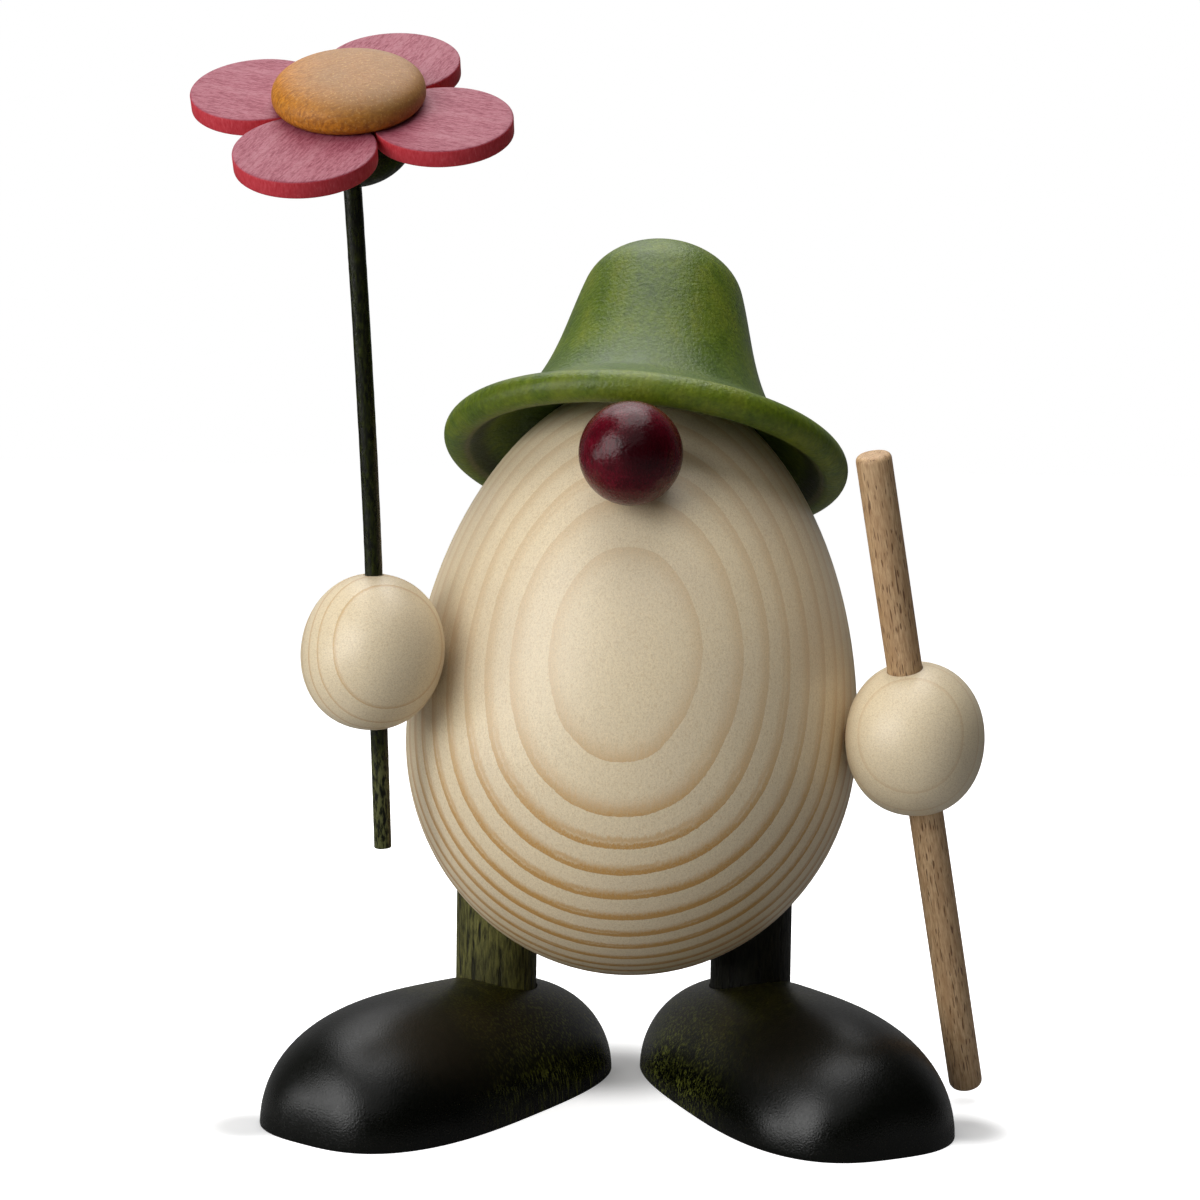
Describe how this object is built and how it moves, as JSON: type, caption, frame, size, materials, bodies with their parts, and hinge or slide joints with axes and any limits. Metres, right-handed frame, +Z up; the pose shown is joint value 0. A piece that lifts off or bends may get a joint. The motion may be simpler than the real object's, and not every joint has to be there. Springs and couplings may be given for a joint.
{
  "type": "wooden egghead figurine",
  "caption": "Turned wooden egg figurine with a tilted brimmed hat and ball nose, standing on large feet, holding a turning flower and a sliding walking stick.",
  "frame": {"origin": "centre of the whole figure's box in plan, at the height of the soles", "axes": "+Z up, -Y the way the figure faces, +X towards the walking stick"},
  "size_m": [0.1293, 0.0965, 0.1747],
  "materials": {
    "pale_wood": "natural spruce, satin, growth rings showing",
    "beech": "natural beech, smooth",
    "hat_green": "yellow-green stain, satin",
    "wine_red": "dark wine-red stain, satin",
    "foot_black": "black-green stain, satin",
    "leg_green": "dark olive stain, open grain",
    "stem_green": "dark green paint, semi-gloss",
    "petal_red": "pink-red stain, matt",
    "ochre": "ochre stain, satin"
  },
  "bodies": {
    "figure": {"egg_body": "pale_wood", "hat": "hat_green", "nose": "wine_red", "nose_peg": "beech", "flower_hand": "pale_wood", "flower_hand_peg": "beech", "stick_hand": "pale_wood", "stick_hand_peg": "beech", "left_leg": "leg_green", "right_leg": "leg_green", "left_foot": "foot_black", "right_foot": "foot_black"},
    "flower": {"flower_stem": "stem_green", "flower_calyx": "stem_green", "petal_1": "petal_red", "petal_2": "petal_red", "petal_3": "petal_red", "petal_4": "petal_red", "flower_centre": "ochre"},
    "stick": {"walking_stick": "beech"}
  },
  "joints": [
    {"name": "flower_turn", "type": "hinge", "parent": "figure", "child": "flower", "pos_m": [-0.03682, -0.01288, 0.07705], "axis": [-0.0313, -0.0958, 0.9949], "continuous": true},
    {"name": "stick_slide", "type": "slide", "parent": "figure", "child": "stick", "axis": [-0.1939, -0.2656, 0.9444], "range_m": [-0.0015, 0.045]}
  ]
}
